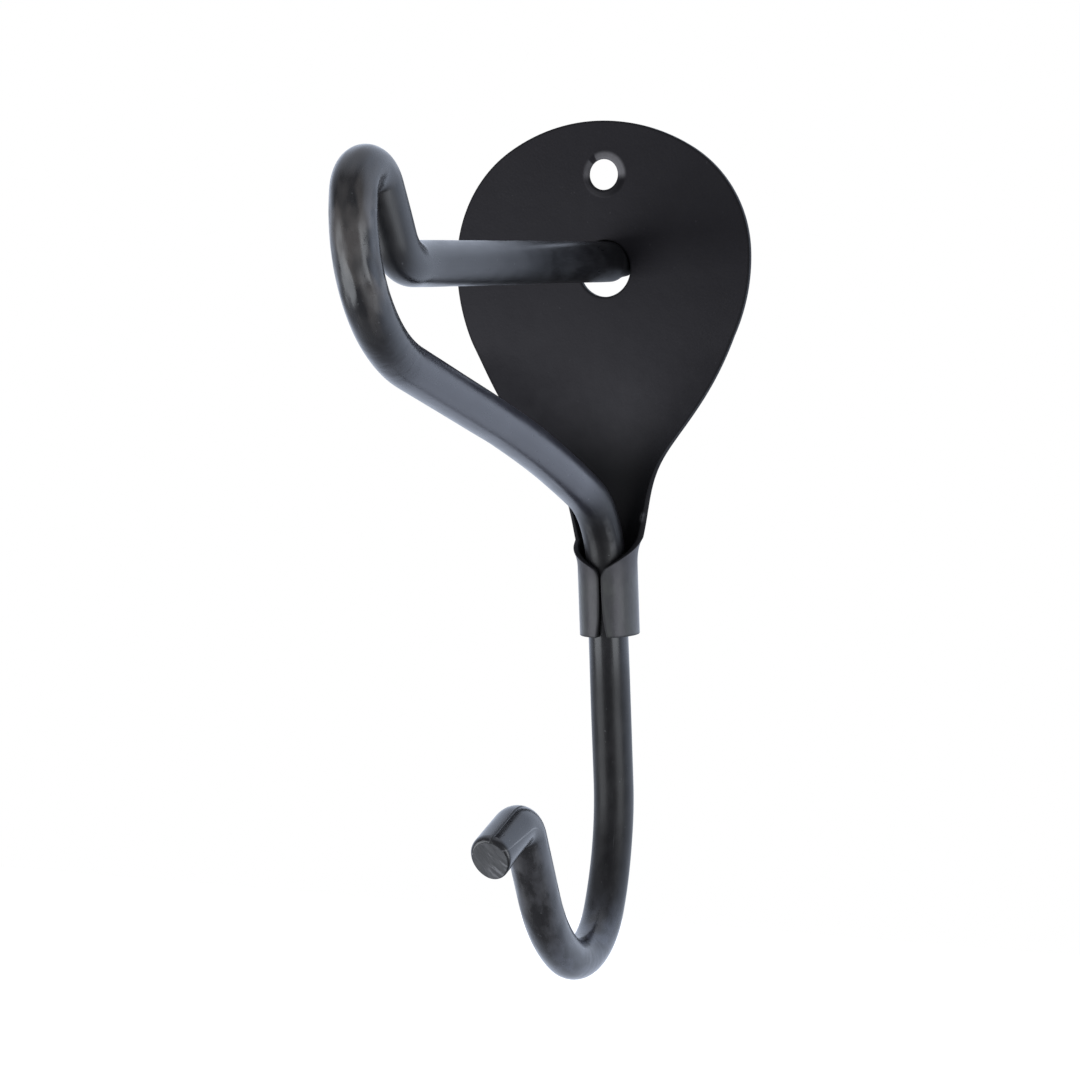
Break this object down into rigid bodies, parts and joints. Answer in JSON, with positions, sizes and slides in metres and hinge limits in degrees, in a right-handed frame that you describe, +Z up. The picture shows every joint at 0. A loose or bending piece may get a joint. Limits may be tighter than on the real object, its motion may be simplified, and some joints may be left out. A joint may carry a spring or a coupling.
{
  "type": "tack hook",
  "caption": "Black wall hook for bridles and harness: a teardrop plate whose tail is rolled into a split socket, gripping a bent round bar with a crested arm and a J hook below.",
  "frame": {"origin": "middle of the screw hole on the plate's wall face", "axes": "+Z up the wall, -Y out from the wall along the arm, +X to the right as seen from the room"},
  "size_m": [0.0796, 0.134, 0.2087],
  "materials": {
    "plate_finish": "satin black lacquer on sheet steel, lightly dusty and scuffed round the screw hole",
    "bar_paint": "semi-gloss black lacquer on drawn bar, with draw lines, small pits and a bare sawn end"
  },
  "bodies": {
    "root": {"back_plate": "plate_finish", "hook_rod": "bar_paint"}
  },
  "joints": []
}
